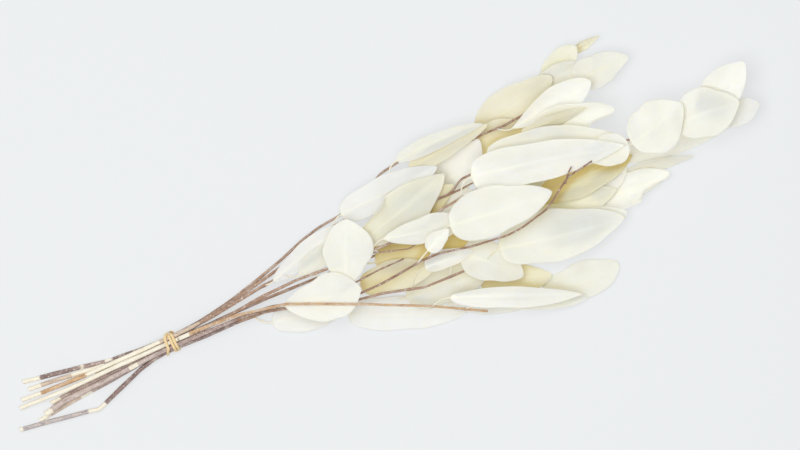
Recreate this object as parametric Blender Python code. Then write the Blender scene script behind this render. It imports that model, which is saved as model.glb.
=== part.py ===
"""Bunch of bleached eucalyptus branches, tied near the cut ends and lying on a flat surface.

Nine leafy stems pass through a rubber band at the plan's origin and fan out on both sides of it.
The branches are laid one after another, the lowest first. Each stem and each leaf is lowered in plan
position until it rests on what already lies there, so nothing crosses a neighbour.
"""
import math
from collections import namedtuple

import bpy
import numpy as np

# Plan coordinates are millimetres from the tie: +X along the bunch to the leaf tips, +Y across it.
MM = 0.001
BLADE_THICKNESS = 0.7
PETIOLE_THICKNESS = 1.5
PETIOLE_HALF_WIDTH = 0.9
PETIOLE_RUN = 9.0
BLADE_BASE_THICKNESS = 1.1
STEM_SIDES = 6
KNOT_SWELL = 1.22
MIDDLE_X = 150.0
STATION_SPACING = 3.0

# The stems cross the tie straight, stacked in rows, and the band is wound round them.
TIE_RADIUS = 1.9
TIE_PITCH = 4.2
TIE_HALF_LENGTH = 8.0
TIE_TAPER = 12.0
SWELL_FROM_X = 70.0
BAND_RADIUS = 0.65
BAND_SIDES = 6
BAND_CLEARANCE = 0.35
BAND_TURNS = 3
BAND_POINTS_PER_TURN = 18
BAND_HALF_WIDTH = 3.3
BAND_CROSSING_LIFT = 1.7

# How far each piece stays above what it lies on, and how fast it can bend, in 1/mm.
GAP = 0.45
LEAF_BEND = 0.0035
STEM_BEND = 0.0012
STEM_STIFFNESS = 0.8
STEEPEST_STRETCH = 1.8

# Stations along a blade, as shares of its length, and the four points across it.
BLADE_STATIONS = (0.0, 0.04, 0.15, 0.33, 0.52, 0.7, 0.87, 1.0)
FLAT_SHARE = 0.42
ACROSS = (-1.0, -FLAT_SHARE, FLAT_SHARE, 1.0)
TIP_HALF_WIDTH = 0.7

# The heap of what is already laid is a height map of small square cells.
CELL = 1.0
HEAP_CORNER = (-175.0, -150.0)
HEAP_CELLS = (760, 290)
SAMPLE = 1.4

# A leaf's cup is how far its edges stand up, roll its turn about the midrib in degrees, rise the
# height of its sprung tip and belly the place of its greatest width.
Leaf = namedtuple("Leaf", "base tip width cup roll rise belly", defaults=(0.15, 0.0, 0.0, 0.38))
# A stem's row and side give its place in the tie, in pitches; its radii are those of the cut end and
# the tip; its spring is how stiffly its leaves span what lies under them, from 0, pressed down, to 1.
Stem = namedtuple("Stem", "name row side spring radii route leaves")

TOP_EDGE = Stem(
    "leafy_stem_01", 0, 1.25, 0.0, (2.3, 0.9),
    [(-133, 22), (-117, 19), (-80, 13), (-56, 8), (-30, 6), (30, 7), (64, 13), (90, 20), (115, 27),
     (141, 36), (158, 40), (179, 42), (205, 50), (226, 61), (251, 65), (285, 64), (325, 62),
     (352, 65), (378, 73), (400, 83), (412, 88)],
    [Leaf((414, 89), (450, 97), 17, 0.3, 40, rise=8), Leaf((386, 76), (431, 97), 26, 0.2, rise=6),
     Leaf((366, 66), (420, 81), 28), Leaf((318, 61), (396, 77), 33, 0.2, rise=3),
     Leaf((304, 55), (366, 42), 30), Leaf((214, 40), (285, 30), 30)])

LOW_BACK = Stem(
    "leafy_stem_02", 0, -0.75, 0.0, (2.3, 0.9),
    [(-133, -15), (-100, -11), (-60, -8), (-25, -4.5), (30, -4), (60, -8), (85, -14), (110, -20),
     (150, -31), (190, -43), (230, -54), (270, -63), (305, -76)],
    [Leaf((316, -83), (384, -93), 36, rise=3), Leaf((234, -73), (335, -112), 28, 0.1),
     Leaf((244, -60), (318, -76), 34), Leaf((150, -39), (245, -80), 31, 0.1),
     Leaf((203, -47), (288, -52), 38), Leaf((84, -22), (163, -36), 30, 0.1)])

CENTRE_BACK = Stem(
    "leafy_stem_03", 0, 0.25, 0.3, (2.2, 0.9),
    [(-72, 2), (-40, 0.5), (-20, 1), (30, 1.5), (60, 2), (90, 2), (120, 1), (150, 0), (185, -2),
     (208, -3), (235, 0), (262, 3), (290, 0), (320, -6), (350, -13), (385, -20), (416, -22)],
    [Leaf((424, -14), (512, -32), 28), Leaf((420, -26), (480, -37), 24, 0.1, 50, rise=4),
     Leaf((390, -38), (456, -41), 31, 0.35, -15, rise=3), Leaf((384, -32), (424, -20), 22),
     Leaf((334, -26), (408, -35), 30), Leaf((340, -10), (432, -14), 34),
     Leaf((318, 3), (380, 4), 30), Leaf((262, 20), (322, 48), 31, 0.3),
     Leaf((240, 6), (298, 14), 31), Leaf((222, 16), (284, 26), 26),
     Leaf((180, -8), (250, -13), 30), Leaf((170, -21), (240, -32), 28)])

UPPER_PAIR = Stem(
    "leafy_stem_04", 1, 0.75, 0.6, (2.2, 0.9),
    [(-131, 14), (-100, 11), (-60, 6), (-25, 4), (30, 6), (60, 11), (90, 17), (115, 22), (141, 30),
     (165, 35), (190, 38), (215, 41), (246, 50), (266, 55), (282, 53), (321, 56), (340, 55),
     (370, 58), (402, 61)],
    [Leaf((414, 66), (466, 67), 28, rise=7), Leaf((346, 51), (428, 63), 27, 0.25, rise=8, belly=0.6),
     Leaf((262, 51), (345, 62), 28), Leaf((243, 58), (330, 70), 26), Leaf((178, 44), (283, 51), 29, 0.1)])

LOWER_DARK = Stem(
    "leafy_stem_05", 1, -1.25, 0.6, (2.3, 1.0),
    [(-152, -15), (-120, -20), (-89, -25), (-81, -27), (-73, -24), (-35, -10), (-20, -6.5),
     (30, -7.5), (60, -10), (85, -14), (120, -22), (161, -31), (185, -35), (221, -45), (255, -46),
     (285, -46), (318, -50)],
    [Leaf((336, -50), (408, -57), 30), Leaf((295, -40), (403, -64), 46, 0.2, rise=3),
     Leaf((268, -36), (318, -76), 36), Leaf((228, -29), (272, -33), 17, 0.3)])

UPPER_THIN = Stem(
    "leafy_stem_06", 2, 1.25, 0.6, (2.2, 0.9),
    [(-140, 8), (-122, 6.5), (-79, 5), (-50, 5), (-25, 5), (30, 6), (60, 9), (90, 13), (115, 14),
     (150, 16), (185, 18), (215, 19), (246, 21), (273, 20), (288, 28), (299, 28), (330, 33),
     (362, 36), (388, 38)],
    [Leaf((366, 41), (434, 30), 25, 0.45, rise=4), Leaf((352, 43), (412, 40), 16, 0.1, 35),
     Leaf((318, 36), (421, 12), 34), Leaf((188, 14), (276, 38), 38, 0.25, belly=0.42),
     Leaf((113, 18), (182, 34), 22), Leaf((126, 9), (174, 22), 18)])

RIGHT_TIP = Stem(
    "leafy_stem_07", 1, -0.25, 0.6, (2.2, 0.9),
    [(-118, -5), (-80, -3), (-50, -2), (-25, -1), (30, 0), (60, 2), (90, 5), (120, 6), (150, 4),
     (185, 3), (208, 2), (235, 5), (262, 11), (290, 14), (330, 15), (370, 11), (405, 5), (440, -1),
     (475, -5), (503, -3)],
    [Leaf((514, -8), (554, -19), 24, rise=2), Leaf((505, 5), (554, 23), 28, 0.2, 10, rise=9),
     Leaf((475, -8), (537, -4), 45, rise=2), Leaf((434, 0), (483, 4), 47, 0.1, rise=3),
     Leaf((384, 10), (438, -2), 38), Leaf((298, 27), (414, -7), 45, 0.2, rise=2),
     Leaf((208, 6), (263, -8), 25, 0.3), Leaf((156, -4), (186, 38), 40, 0.12, belly=0.48)])

ZIGZAG = Stem(
    "leafy_stem_08", 2, -0.75, 0.6, (3.2, 1.0),
    [(-126, -12), (-105, -8), (-81, -7), (-38, -5), (-20, -3.5), (30, -4), (60, -6.5), (90, -11),
     (115, -16), (140, -22), (164, -27), (189, -27), (226, -23), (243, -22), (272, -26), (304, -29),
     (318, -27), (345, -24), (372, -8), (397, -4)],
    [Leaf((263, -7), (354, -16), 49, 0.12, rise=2), Leaf((236, -17), (260, -7), 16, 0.5),
     Leaf((103, -7), (169, -22), 42, 0.12, belly=0.45)])

LOWER_TAN = Stem(
    "leafy_stem_09", 2, 0.25, 0.6, (2.2, 1.0),
    [(-144, 2), (-100, 0), (-50, 1), (-25, 1), (30, 1), (63, -1), (104, -9), (125, -18),
     (167, -37), (219, -61), (255, -79)],
    [Leaf((266, -85), (354, -114), 27), Leaf((237, -62), (344, -105), 25, 0.35, 10, belly=0.45)])

STEMS = (TOP_EDGE, LOW_BACK, CENTRE_BACK, UPPER_PAIR, LOWER_DARK, UPPER_THIN, RIGHT_TIP, ZIGZAG,
         LOWER_TAN)

TIE_BASE = 2 * BAND_RADIUS + BAND_CLEARANCE + TIE_RADIUS
ROW_RISE = TIE_PITCH * math.sin(math.radians(60))


def tie_place(stem):
    """Where a stem's axis crosses the tie: y and z in millimetres."""
    return stem.side * TIE_PITCH, TIE_BASE + stem.row * ROW_RISE


class Heap:
    """Top heights, in millimetres, of what already lies on the surface."""

    def __init__(self):
        self.everything = np.zeros(HEAP_CELLS)
        self.blades = np.zeros(HEAP_CELLS)

    @staticmethod
    def cells(x, y):
        column = ((x - HEAP_CORNER[0]) / CELL).astype(int)
        row = ((y - HEAP_CORNER[1]) / CELL).astype(int)
        return np.clip(column, 0, HEAP_CELLS[0] - 1), np.clip(row, 0, HEAP_CELLS[1] - 1)

    def floor_under(self, grid, x, y):
        """Least height of an underside at each point: the bare surface, or what lies there plus a gap."""
        top = grid[self.cells(x, y)]
        return np.where(top > 0, top + GAP, 0.0)

    def add(self, x, y, z, is_blade):
        grids = (self.everything, self.blades) if is_blade else (self.everything,)
        for grid in grids:
            for step_x in (-CELL, 0.0, CELL):
                for step_y in (-CELL, 0.0, CELL):
                    np.maximum.at(grid, self.cells(x + step_x, y + step_y), z)


def polyline_lengths(points):
    """Distance along a polyline at each of its points."""
    steps = np.hypot(*np.diff(points, axis=0).T)
    return np.concatenate([[0.0], np.cumsum(steps)])


def concave_cover(places, heights):
    """Lowest arch, never bending upwards, over the given points: how a stiff strip spans bumps."""
    arch = []
    for place, height in zip(places, heights):
        while len(arch) > 1:
            (x1, z1), (x2, z2) = arch[-2:]
            if (z2 - z1) * (place - x1) > (height - z1) * (x2 - x1):
                break
            arch.pop()
        arch.append((place, height))
    return np.interp(places, [p[0] for p in arch], [p[1] for p in arch])


def limp_cover(places, heights, bend):
    """Cover that falls away on both sides of each bump, no faster than a thin strip can bend."""
    return (heights[None, :] - bend * (places[:, None] - places[None, :]) ** 2).max(axis=1)


def settle(stations, places, need, stiffness, bend):
    """Heights at the stations of a strip that clears need at every place along it."""
    drooping = limp_cover(places, need, bend)
    arch = concave_cover(places, drooping)
    heights = np.interp(stations, places, stiffness * arch + (1 - stiffness) * drooping)
    for index in range(len(stations) - 1):
        inside = (places >= stations[index]) & (places <= stations[index + 1])
        short = need[inside] - np.interp(places[inside], stations, heights)
        lift = max(0.0, short.max(initial=0.0))
        heights[index:index + 2] += lift
    return heights


def stem_clearance(stem_points, radius, laid):
    """Least axis height beside stems that are already laid, from their round sections."""
    need = np.zeros(len(stem_points))
    for other_points, other_radius in laid:
        reach = radius[:, None] + other_radius[None, :] + GAP
        apart = np.hypot(stem_points[:, None, 0] - other_points[None, :, 0],
                         stem_points[:, None, 1] - other_points[None, :, 1])
        over = np.sqrt(np.maximum(reach ** 2 - apart ** 2, 0.0)) + other_points[None, :, 2]
        need = np.maximum(need, np.where(apart < reach, over, 0.0).max(axis=1))
    return need


def stem_radius(stem, x):
    """Radius along a stem: thick at the cut end, a set size in the tie, thin at the tip."""
    cut, tip = stem.radii
    start, end = stem.route[0][0], stem.route[-1][0]
    middle = 0.4 * tip + 0.6 * TIE_RADIUS
    return np.interp(x, [start, -TIE_HALF_LENGTH - TIE_TAPER, TIE_HALF_LENGTH, MIDDLE_X, end],
                     [cut, TIE_RADIUS, TIE_RADIUS, middle, tip])


def stem_route(stem):
    """Plan points of a stem, with a straight run through the tie."""
    tie_y, _ = tie_place(stem)
    tie_points = [(-TIE_HALF_LENGTH, tie_y), (TIE_HALF_LENGTH, tie_y)]
    before = [point for point in stem.route if point[0] < 0]
    after = [point for point in stem.route if point[0] > 0]
    return np.array(before + tie_points + after, float)


def along_route(distances, lengths, route):
    """Plan points at the given distances along a route."""
    return np.column_stack([np.interp(distances, lengths, route[:, axis]) for axis in (0, 1)])


def leaf_root(leaf, route):
    """Distance along the route at which a leaf's stalk leaves the stem, a little short of the blade."""
    lengths = polyline_lengths(route)
    fine = np.arange(0.0, lengths[-1], 1.0)
    away = np.hypot(*(along_route(fine, lengths, route) - leaf.base).T)
    nearest = fine[away.argmin()]
    return float(np.clip(nearest - 0.6 * away.min() - PETIOLE_RUN, 0.0, lengths[-1] - 2.0))


def stem_need(plan, side, radius, heap, laid):
    """Least axis height of a stem at each plan point, over the surface, other stems and blades."""
    need = np.maximum(radius, stem_clearance(plan, radius, laid))
    for share in np.linspace(-1, 1, 5):
        spot = plan + side * (share * radius)[:, None]
        under = heap.floor_under(heap.blades, spot[:, 0], spot[:, 1])
        need = np.maximum(need, under + radius * math.sqrt(1 - share ** 2))
    return need


def stem_heights(stem, stations, fine, need, tie_span):
    """Heights at a stem's stations: fixed in the tie, and settled on the heap on both sides of it."""
    _, tie_z = tie_place(stem)
    heights = np.full(len(stations), tie_z)
    tie_from, tie_to = tie_span
    cut_side = stations <= tie_from, fine <= tie_from, -1
    leaf_side = stations >= tie_to, fine >= tie_to, 0
    for part, span, tie_end in (cut_side, leaf_side):
        wanted = need[span].copy()
        wanted[tie_end] = tie_z
        heights[part] = settle(stations[part], fine[span], wanted, STEM_STIFFNESS, STEM_BEND)
    heights[(stations >= tie_from) & (stations <= tie_to)] = tie_z
    return heights


def lay_stem(stem, heap, laid):
    """Points and radii of a stem's rings, and the points at which its leaves' stalks start."""
    route = stem_route(stem)
    lengths = polyline_lengths(route)
    roots = [leaf_root(leaf, route) for leaf in stem.leaves]
    stations = np.unique(np.concatenate([lengths, roots]))
    crowded = np.append(np.diff(stations) < STATION_SPACING, False)
    stations = stations[~crowded | np.isin(stations, lengths)]
    fine = np.unique(np.concatenate([np.arange(0.0, lengths[-1], SAMPLE), stations]))
    plan = along_route(fine, lengths, route)
    heading = np.gradient(plan, axis=0)
    side = np.column_stack([-heading[:, 1], heading[:, 0]]) / np.hypot(*heading.T)[:, None]
    swell = np.interp(plan[:, 0], [TIE_HALF_LENGTH, SWELL_FROM_X], [1.0, KNOT_SWELL])
    radius = stem_radius(stem, plan[:, 0]) * swell
    need = stem_need(plan, side, radius, heap, laid)
    tie_span = lengths[np.isin(route[:, 0], (-TIE_HALF_LENGTH, TIE_HALF_LENGTH))]
    heights = stem_heights(stem, stations, fine, need, tie_span)
    points = np.column_stack([along_route(stations, lengths, route), heights])
    ring_radius = stem_radius(stem, points[:, 0]) * np.where(np.isin(stations, roots), KNOT_SWELL, 1.0)
    axis_height = np.interp(fine, stations, heights)
    laid.append((np.column_stack([plan, axis_height]), radius))
    for share in np.linspace(-1, 1, 7):
        spot = plan + side * (share * radius)[:, None]
        heap.add(spot[:, 0], spot[:, 1], axis_height + radius * math.sqrt(1 - share ** 2), False)
    starts = [[float(np.interp(root, stations, column)) for column in points.T] for root in roots]
    return points, ring_radius, starts


def blade_half_width(leaf, share):
    """Half width of an ovate blade: round at the base, widest below the middle, pointed at the tip."""
    widest = math.log(0.5) / math.log(leaf.belly)
    swell = math.sin(math.pi * share ** widest) if 0 < share < 1 else 0.0
    return max(leaf.width / 2 * swell ** (0.5 + 0.45 * share), TIP_HALF_WIDTH)


def leaf_outline(leaf, start):
    """Plan points, offsets from the midrib and half thickness of a leaf, by station and across it."""
    base = np.array(leaf.base, float)
    along = np.array(leaf.tip, float) - base
    normal = np.array([-along[1], along[0]]) / np.hypot(*along)
    root = np.array(start[:2])
    stalk = base - root
    riser = root + stalk * min(0.5, 2 * TIE_RADIUS / np.hypot(*stalk))
    centres = [root, riser] + [base + along * share for share in BLADE_STATIONS]
    widths = [PETIOLE_HALF_WIDTH] * 2 + [blade_half_width(leaf, share) for share in BLADE_STATIONS]
    thick = [PETIOLE_THICKNESS] * 2 + [BLADE_BASE_THICKNESS]
    thick += [BLADE_THICKNESS] * (len(BLADE_STATIONS) - 1)
    stalk_side = np.array([-stalk[1], stalk[0]]) / np.hypot(*stalk)
    sides = [stalk_side] * 2 + [normal] * len(BLADE_STATIONS)
    turn = math.radians(leaf.roll)
    centres, widths = np.array(centres), np.array(widths)
    across = np.array(ACROSS)
    reach = widths[:, None] * across[None, :]
    blade = (np.arange(len(widths)) > 2)[:, None]
    edge = np.abs(across) > FLAT_SHARE
    dish = np.where(blade & edge[None, :], leaf.cup * widths[:, None], 0.0)
    rolled = np.where(blade, turn, 0.0)
    sideways = reach * np.cos(rolled) - dish * np.sin(rolled)
    offset = reach * np.sin(rolled) + dish * np.cos(rolled)
    plan = centres[:, None, :] + np.array(sides)[:, None, :] * sideways[:, :, None]
    half = np.array(thick)[:, None] / 2 / np.cos(rolled) * np.ones(len(ACROSS))
    return centres, plan, offset, half


def spread(count, parts):
    """Weights that read a row of values at several evenly spaced places between its entries."""
    places = np.linspace(0, count - 1, (count - 1) * parts + 1)
    low = np.minimum(places.astype(int), count - 2)
    weights = np.zeros((len(places), count))
    weights[np.arange(len(places)), low] = 1 - (places - low)
    weights[np.arange(len(places)), low + 1] += places - low
    return weights


def lay_leaf(leaf, start, spring, heap):
    """Top and bottom points of one leaf, rested on the heap and joined to its stem at start."""
    centres, plan, offset, half = leaf_outline(leaf, start)
    down = spread(len(centres), 10)
    over = spread(len(ACROSS), 6)
    x, y, rise, skin = (down @ grid @ over.T for grid in (plan[..., 0], plan[..., 1], offset, half))
    stations = polyline_lengths(centres)
    places = down @ stations
    need = (heap.floor_under(heap.everything, x, y) + skin - rise).max(axis=1)
    blade = places >= stations[1]
    heights = np.empty(len(stations))
    heights[0] = start[2]
    heights[1:] = settle(stations[1:], places[blade], need[blade], spring, LEAF_BEND)
    share = (stations - stations[2]).clip(0) / (stations[-1] - stations[2])
    heights += leaf.rise * share ** 2
    slope = np.gradient(heights, stations)
    skin_grid = half * np.minimum(np.hypot(1, slope), STEEPEST_STRETCH)[:, None]
    middle = heights[:, None] + offset
    top = down @ (middle + skin_grid) @ over.T
    heap.add(x, y, top, True)
    upper = np.dstack([plan, middle + skin_grid])
    lower = np.dstack([plan, np.maximum(middle - skin_grid, 0.0)])
    return upper, lower


def leaf_mesh(name, upper, lower):
    """Closed thin solid between two like grids of points, cut into triangles alike on both faces."""
    rows, columns = upper.shape[:2]
    points = np.concatenate([upper.reshape(-1, 3), lower.reshape(-1, 3)]) * MM
    below = rows * columns
    faces = []
    for row in range(rows - 1):
        for column in range(columns - 1):
            a = row * columns + column
            b, c, d = a + columns, a + columns + 1, a + 1
            faces += [(a, b, c), (a, c, d)]
            faces += [(a + below, c + below, b + below), (a + below, d + below, c + below)]
    rim = [row * columns for row in range(rows)]
    rim += [(rows - 1) * columns + column for column in range(1, columns)]
    rim += [row * columns + columns - 1 for row in range(rows - 2, -1, -1)]
    rim += list(range(columns - 2, 0, -1))
    for first, second in zip(rim, rim[1:] + rim[:1]):
        faces += [(first, first + below, second + below), (first, second + below, second)]
    mesh = bpy.data.meshes.new(name)
    mesh.from_pydata(points.tolist(), [], faces)
    return mesh


def tube_mesh(name, points, radius, sides, is_loop):
    """Round tube along a polyline, closed into a ring or capped at both ends."""
    count = len(points)
    if is_loop:
        heading = np.roll(points, -1, axis=0) - np.roll(points, 1, axis=0)
    else:
        heading = np.gradient(points, axis=0)
    heading /= np.linalg.norm(heading, axis=1)[:, None]
    guide = np.array([1.0, 0.0, 0.0]) if is_loop else np.array([0.0, 0.0, 1.0])
    first = np.cross(heading, guide)
    first /= np.linalg.norm(first, axis=1)[:, None]
    second = np.cross(first, heading)
    turn = 2 * math.pi * (np.arange(sides) + 0.5) / sides
    ring = (np.cos(turn)[None, :, None] * first[:, None, :]
            + np.sin(turn)[None, :, None] * second[:, None, :])
    vertices = points[:, None, :] + ring * np.asarray(radius)[:, None, None]
    faces = []
    for row in range(count if is_loop else count - 1):
        start, end = row * sides, (row + 1) % count * sides
        for side in range(sides):
            after = (side + 1) % sides
            faces.append((start + side, end + side, end + after, start + after))
    if not is_loop:
        faces.append(tuple(range(sides)))
        faces.append(tuple(range(count * sides - 1, (count - 1) * sides - 1, -1)))
    mesh = bpy.data.meshes.new(name)
    mesh.from_pydata((vertices.reshape(-1, 3) * MM).tolist(), [], faces)
    return mesh


def add_object(name, mesh, material):
    part = bpy.data.objects.new(name, mesh)
    mesh.materials.append(material)
    bpy.context.scene.collection.objects.link(part)
    return part


def plain_material(name, colour, roughness):
    material = bpy.data.materials.new(name)
    material.use_nodes = True
    shader = material.node_tree.nodes["Principled BSDF"]
    shader.inputs["Base Color"].default_value = (*colour, 1.0)
    shader.inputs["Roughness"].default_value = roughness
    return material


def fuse(stem_object, leaf_objects):
    """Join a stem's leaves to it with one union, and remove the loose leaves."""
    loose = bpy.data.collections.new(stem_object.name + "_leaves")
    bpy.context.scene.collection.children.link(loose)
    for leaf_object in leaf_objects:
        bpy.context.scene.collection.objects.unlink(leaf_object)
        loose.objects.link(leaf_object)
    union = stem_object.modifiers.new("union", "BOOLEAN")
    union.operation = "UNION"
    union.operand_type = "COLLECTION"
    union.collection = loose
    union.solver = "EXACT"
    with bpy.context.temp_override(object=stem_object, active_object=stem_object):
        bpy.ops.object.modifier_apply(modifier=union.name)
    for leaf_object in leaf_objects:
        bpy.data.objects.remove(leaf_object)
    bpy.data.collections.remove(loose)


def leafy_stem(stem, heap, laid, material):
    """One branch: the stem is laid first, then its leaves from the tip back to the base."""
    points, radius, starts = lay_stem(stem, heap, laid)
    body = add_object(stem.name, tube_mesh(stem.name, points, radius, STEM_SIDES, False), material)
    leaves = []
    for number, (leaf, start) in enumerate(zip(stem.leaves, starts), 1):
        name = f"{stem.name}_leaf_{number:02d}"
        mesh = leaf_mesh(name, *lay_leaf(leaf, start, stem.spring, heap))
        leaves.append(add_object(name, mesh, material))
    fuse(body, leaves)
    return body


def band_path():
    """Centre line of the band: three turns round the stems, the last half turn crossing back over."""
    centres = np.array([tie_place(stem) for stem in STEMS])
    wrap = TIE_RADIUS + BAND_CLEARANCE + BAND_RADIUS
    crossing = BAND_TURNS - 0.5
    points = []
    for turn in np.arange(BAND_TURNS * BAND_POINTS_PER_TURN) / BAND_POINTS_PER_TURN:
        angle = math.pi + 2 * math.pi * turn
        out = np.array([math.cos(angle), math.sin(angle)])
        outermost = centres[(centres @ out).argmax()]
        crossed = max(0.0, turn - crossing) / (BAND_TURNS - crossing)
        lift = BAND_CROSSING_LIFT * min(1.0, 3.2 * math.sin(math.pi * crossed))
        y, z = outermost + out * (wrap + lift)
        x = np.interp(turn, [0.0, crossing, BAND_TURNS],
                      [-BAND_HALF_WIDTH, BAND_HALF_WIDTH, -BAND_HALF_WIDTH])
        points.append((x, y, z))
    return np.array(points)


def rubber_band(material):
    points = band_path()
    radius = np.full(len(points), BAND_RADIUS)
    mesh = tube_mesh("rubber_band", points, radius, BAND_SIDES, True)
    return add_object("rubber_band", mesh, material)


def centre_on_surface(parts):
    """Move every mesh so that the whole bunch is centred over the origin, with its lowest point at 0."""
    corners = np.array([vertex.co for part in parts for vertex in part.data.vertices])
    low, high = corners.min(axis=0), corners.max(axis=0)
    middle = (low + high) / 2
    print("the tie is at", np.round(-middle[:2] / MM, 2), "mm in plan")
    for part in parts:
        for vertex in part.data.vertices:
            vertex.co[0] -= middle[0]
            vertex.co[1] -= middle[1]
            vertex.co[2] -= low[2]


def main():
    for old in list(bpy.data.objects):
        bpy.data.objects.remove(old)
    leaf_material = plain_material("bleached_eucalyptus", (0.84, 0.81, 0.68), 0.6)
    band_material = plain_material("natural_rubber", (0.74, 0.53, 0.26), 0.55)
    heap = Heap()
    laid = []
    parts = [leafy_stem(stem, heap, laid, leaf_material) for stem in STEMS]
    parts.append(rubber_band(band_material))
    centre_on_surface(parts)
    for part in parts:
        size = [round(1000 * value) for value in part.dimensions]
        print(part.name, "vertices", len(part.data.vertices), "size in mm", size)


main()
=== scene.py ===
# %% [markdown]
# # A bunch of bleached eucalyptus
#
# The object is a bunch of dried, bleached eucalyptus branches, tied near the cut ends with a rubber
# band and laid flat. It could be made by hand, leaf by leaf. Here each stem and leaf is described by
# a few measured values, and a small solver lays them down one after another, as a florist would, so
# that no leaf passes through another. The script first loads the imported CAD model, which fixes where
# everything is.

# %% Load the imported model
import math
from collections import namedtuple
from functools import partial

import bpy
import numpy as np
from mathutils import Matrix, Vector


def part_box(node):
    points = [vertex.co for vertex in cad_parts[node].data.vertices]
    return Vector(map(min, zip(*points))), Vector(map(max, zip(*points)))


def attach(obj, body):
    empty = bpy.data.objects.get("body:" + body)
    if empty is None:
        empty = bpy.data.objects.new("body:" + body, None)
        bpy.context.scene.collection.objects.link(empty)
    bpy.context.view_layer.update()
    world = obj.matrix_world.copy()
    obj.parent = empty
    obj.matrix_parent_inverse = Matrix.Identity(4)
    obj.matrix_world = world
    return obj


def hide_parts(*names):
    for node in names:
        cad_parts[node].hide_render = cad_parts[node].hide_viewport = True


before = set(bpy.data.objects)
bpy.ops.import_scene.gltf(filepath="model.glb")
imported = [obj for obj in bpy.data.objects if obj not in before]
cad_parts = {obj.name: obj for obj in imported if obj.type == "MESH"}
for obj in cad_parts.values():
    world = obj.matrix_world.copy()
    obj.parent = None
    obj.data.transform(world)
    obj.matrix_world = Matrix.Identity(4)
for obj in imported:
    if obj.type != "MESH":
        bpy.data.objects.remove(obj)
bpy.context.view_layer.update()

# %% [markdown]
# ## Where the camera stands
#
# The bunch was photographed from straight above, turned by 24 degrees. A camera close by would show
# high leaves larger than low ones. A long lens far away keeps them in proportion, so plan
# measurements and picture agree. Plan coordinates are millimetres from the tie, +X along the bunch.

# %% Plan, picture and camera
MM = 0.001
PICTURE_WIDTH = 800
PICTURE_HEIGHT = 450
MM_PER_PIXEL = 0.87
TIE_PIXEL = (172, 343)
BUNCH_TURN = math.radians(24)
CAMERA_DISTANCE = 8.0
SENSOR_WIDTH = 36.0

band_low, band_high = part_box("rubber_band")
TIE = (np.array(band_low) + np.array(band_high))[:2] / 2 / MM


def to_part(points):
    """Plan points and heights in millimetres, moved into the frame of the CAD model in metres."""
    moved = np.array(points, float)
    moved[..., 0] += TIE[0]
    moved[..., 1] += TIE[1]
    return moved * MM


right = np.array([math.cos(BUNCH_TURN), -math.sin(BUNCH_TURN)])
up = np.array([math.sin(BUNCH_TURN), math.cos(BUNCH_TURN)])
across_picture = (PICTURE_WIDTH / 2 - TIE_PIXEL[0]) * MM_PER_PIXEL
up_picture = (TIE_PIXEL[1] - PICTURE_HEIGHT / 2) * MM_PER_PIXEL
middle = to_part([*(across_picture * right + up_picture * up), 0.0])

bpy.ops.object.camera_add(location=(middle[0], middle[1], CAMERA_DISTANCE),
                          rotation=(0, 0, -BUNCH_TURN))
camera = bpy.context.object
camera.name = "camera"
camera.data.sensor_width = SENSOR_WIDTH
camera.data.lens = SENSOR_WIDTH * CAMERA_DISTANCE / (PICTURE_WIDTH * MM_PER_PIXEL * MM)
bpy.context.scene.camera = camera
print("lens", round(camera.data.lens, 1), "mm, tie at", np.round(TIE, 2), "mm")

# %% [markdown]
# ## Colours and nodes
#
# Colours are written as they look on a screen, in sRGB. Blender mixes light in linear values, so one
# function converts them. A second one adds a shader node and sets or links its inputs. The scale of
# a texture is how many of its features fit in a metre, so 45 gives blotches of 1000 / 45 = 22 mm.

# %% Colour and node helpers


def srgb(code):
    """Linear RGBA from an sRGB hex code such as F2E8CC."""
    shares = [int(code[i:i + 2], 16) / 255 for i in (0, 2, 4)]
    linear = [s / 12.92 if s <= 0.04045 else ((s + 0.055) / 1.055) ** 2.4 for s in shares]
    return (*linear, 1.0)


def add_node(material, kind, settings=None, inputs=None):
    """Add a shader node. An input is a value, or the output of another node to link from."""
    made = material.node_tree.nodes.new("ShaderNode" + kind)
    for name, value in (settings or {}).items():
        setattr(made, name, value)
    for name, value in (inputs or {}).items():
        if isinstance(value, bpy.types.NodeSocket):
            material.node_tree.links.new(value, made.inputs[name])
        else:
            made.inputs[name].default_value = value
    return made


def new_material(name):
    """An empty node material, ready for a Principled shader."""
    material = bpy.data.materials.new(name)
    material.use_nodes = True
    material.node_tree.nodes.clear()
    return material


def finish_material(material, inputs):
    """Give a material its one Principled shader, with the given inputs."""
    shader = add_node(material, "BsdfPrincipled", inputs=inputs)
    add_node(material, "OutputMaterial", inputs={"Surface": shader.outputs["BSDF"]})
    print("material", material.name, "with", len(material.node_tree.nodes), "nodes")


# %% [markdown]
# ## The branches as measured
#
# A eucalyptus branch is a thin twig that bends a little at each node, with ovate leaves on short
# stalks. It could be grown by a rule, but this is one certain bunch, so each branch is a row of
# measured values: its route in plan, its place in the tie, its bark and its leaves. Each leaf has
# the place of its blade's base and tip, its width and its tone.

# %% Tables of stems and leaves
# A leaf's cup is how far its edges stand up, roll its turn about the midrib in degrees, rise the
# height of its sprung tip, belly the share of its length where it is widest, and bow how far its
# midrib curves. Its folds are margins that curl over.
Leaf = namedtuple("Leaf", "base tip width tone cup roll rise belly folds bow",
                  defaults=(0.15, 0.0, 0.0, 0.38, (), 0.0))
# A fold is on the left (+1) or right (-1) margin, starts at a share of the half width, turns by an
# angle in degrees, and runs between two shares of the blade's length.
Fold = namedtuple("Fold", "side share angle run_from run_to")
# A stem crosses the tie in a row, to one side by a share of the stems' pitch. Spring is how far its
# leaves span what lies below them. Radii are at the cut and at the tip, and slender is where the stem
# has thinned. Bark is the tone from each place on. Shoots are side twigs that have lost their leaves.
Stem = namedtuple("Stem", "number row side spring radii route bark leaves shoots slender",
                  defaults=((), 150.0))

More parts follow.
